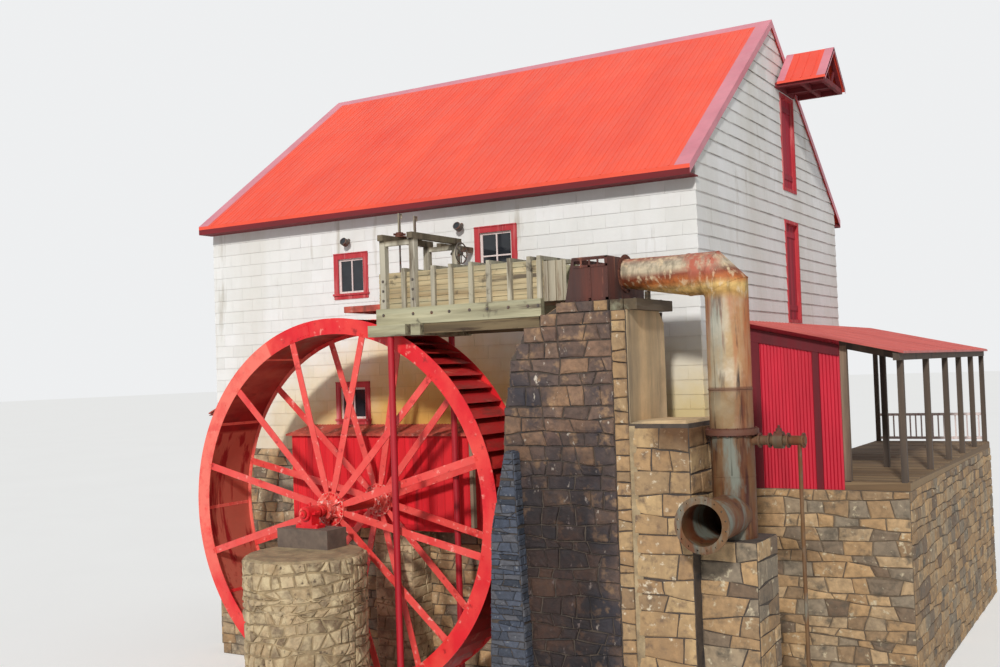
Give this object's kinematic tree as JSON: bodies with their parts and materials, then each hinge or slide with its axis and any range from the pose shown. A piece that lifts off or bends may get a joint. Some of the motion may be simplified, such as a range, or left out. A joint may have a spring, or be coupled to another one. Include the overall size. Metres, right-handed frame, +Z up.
{
  "type": "watermill",
  "caption": "Watermill: boarded mill house on stone walls with a red metal roof, overshot water wheel, timber flume on a stone pier, supply pipe and a long side porch.",
  "frame": {"origin": "on the ground under the middle of the whole object's outline", "axes": "+Z up, +X along the long wall beside the water wheel towards the porch gable, +Y from the water wheel into the mill house"},
  "size_m": [16.1, 18.5198, 14.015],
  "materials": {
    "rubble_stone": "rough, lime mortar joints",
    "dark_rubble": "rough, dark, weathered",
    "concrete": "cast, matte",
    "white_siding": "painted off-white, weathered",
    "plank_floor": "bare boards",
    "red_roof": "bright red ribbed sheet",
    "pink_flashing": "faded red folded sheet",
    "dark_red_wood": "painted dark red, peeling",
    "faded_red_wood": "faded red paint, peeling",
    "white_paint": "white paint",
    "glass": "clear, dusty",
    "rusty_sheet": "corrugated sheet, faded and rusty",
    "flume_timber": "bare timber with green and yellow weathering",
    "wheel_red": "glossy red paint",
    "wheel_inner": "dull red, stained",
    "shaft_steel": "turned steel, dull",
    "grey_steel": "grey, rust spotted",
    "pale_metal": "pale ribbed sheet",
    "rust_red_steel": "rust-red plate",
    "old_pipe": "rust with white and teal patches"
  },
  "bodies": {
    "mill": {"back_wall": "white_siding", "bearing_block": "concrete", "bearing_housings": "wheel_red", "bearing_piers": "rubble_stone", "eave_boards": "dark_red_wood", "floodlights": "grey_steel", "floors": "plank_floor", "flume_bearers": "flume_timber", "flume_channel": "flume_timber", "flume_frames": "flume_timber", "flume_lip": "rusty_sheet", "flume_sills": "flume_timber", "foundation": "rubble_stone", "front_wall": "white_siding", "gate_frame": "flume_timber", "hood_frame": "dark_red_wood", "hood_roof": "red_roof", "lean_to_roofs": "rusty_sheet", "lean_to_walls": "faded_red_wood", "left_wall": "white_siding", "loading_doors": "dark_red_wood", "main_pier": "rubble_stone", "metal_trough": "pale_metal", "pier_buttress": "dark_rubble", "pier_cap_timbers": "flume_timber", "pipe_posts": "grey_steel", "porch_deck": "plank_floor", "porch_foundation": "rubble_stone", "porch_frame": "dark_red_wood", "porch_railing": "white_paint", "porch_roof": "red_roof", "porch_screen_wall": "rusty_sheet", "right_wall": "white_siding", "roof": "red_roof", "roof_trims": "pink_flashing", "steel_box": "rust_red_steel", "supply_pipe": "old_pipe", "window_and_door_casings": "faded_red_wood", "window_glass": "glass", "window_sashes": "white_paint"},
    "water_wheel": {"wheel_shaft": "shaft_steel", "wheel_hubs": "wheel_red", "wheel_spokes": "wheel_red", "wheel_rings": "wheel_red", "wheel_sole": "wheel_inner", "wheel_buckets": "wheel_red"},
    "gate": {"sluice_gate": "flume_timber", "gate_stems": "grey_steel"},
    "gate_hand_wheel": {"hand_wheel": "grey_steel"}
  },
  "joints": [
    {"name": "wheel_turn", "type": "hinge", "parent": "mill", "child": "water_wheel", "pos_m": [-1.6, -6.215, 3.9], "axis": [0, -1, 0], "continuous": true},
    {"name": "gate_lift", "type": "slide", "parent": "mill", "child": "gate", "axis": [0, 0, 1], "range_m": [0, 0.35]},
    {"name": "hand_wheel_turn", "type": "hinge", "parent": "mill", "child": "gate_hand_wheel", "pos_m": [0.55, -5.5, 8.74], "axis": [1, 0, 0], "range_deg": [-720, 720]}
  ]
}
